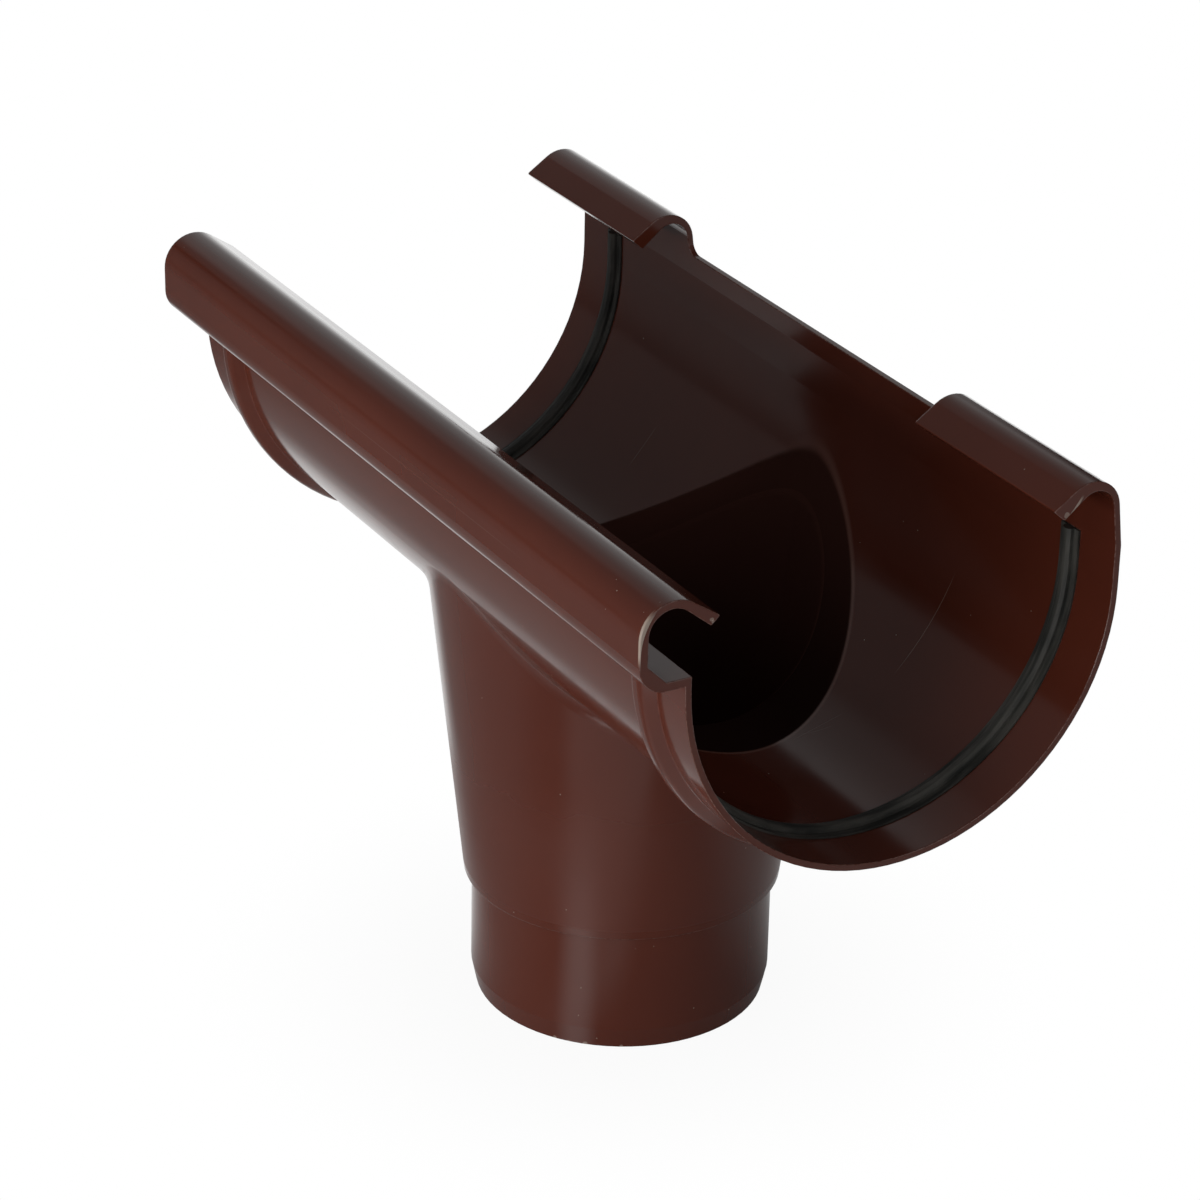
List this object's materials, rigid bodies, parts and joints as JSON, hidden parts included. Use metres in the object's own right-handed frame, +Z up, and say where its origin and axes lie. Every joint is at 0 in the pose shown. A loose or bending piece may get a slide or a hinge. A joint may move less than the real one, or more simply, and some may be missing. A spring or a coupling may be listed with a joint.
{
  "type": "gutter outlet",
  "caption": "Half-round gutter outlet with a tapered funnel and a spigot for the downpipe, a rolled front bead, rear clips and rubber seals.",
  "frame": {"origin": "on the spigot's axis, at the spigot's lower edge", "axes": "+Z up along the spigot's axis, +Y along the gutter to the left-hand end as seen from the front, +X from the front bead to the rear clips"},
  "size_m": [0.1512, 0.286, 0.2091],
  "materials": {
    "moulded_plastic": "glossy chocolate brown, smooth moulded",
    "seal_rubber": "matt black rubber"
  },
  "bodies": {
    "root": {"outlet_body": "moulded_plastic", "left_seal": "seal_rubber", "right_seal": "seal_rubber"}
  },
  "joints": []
}
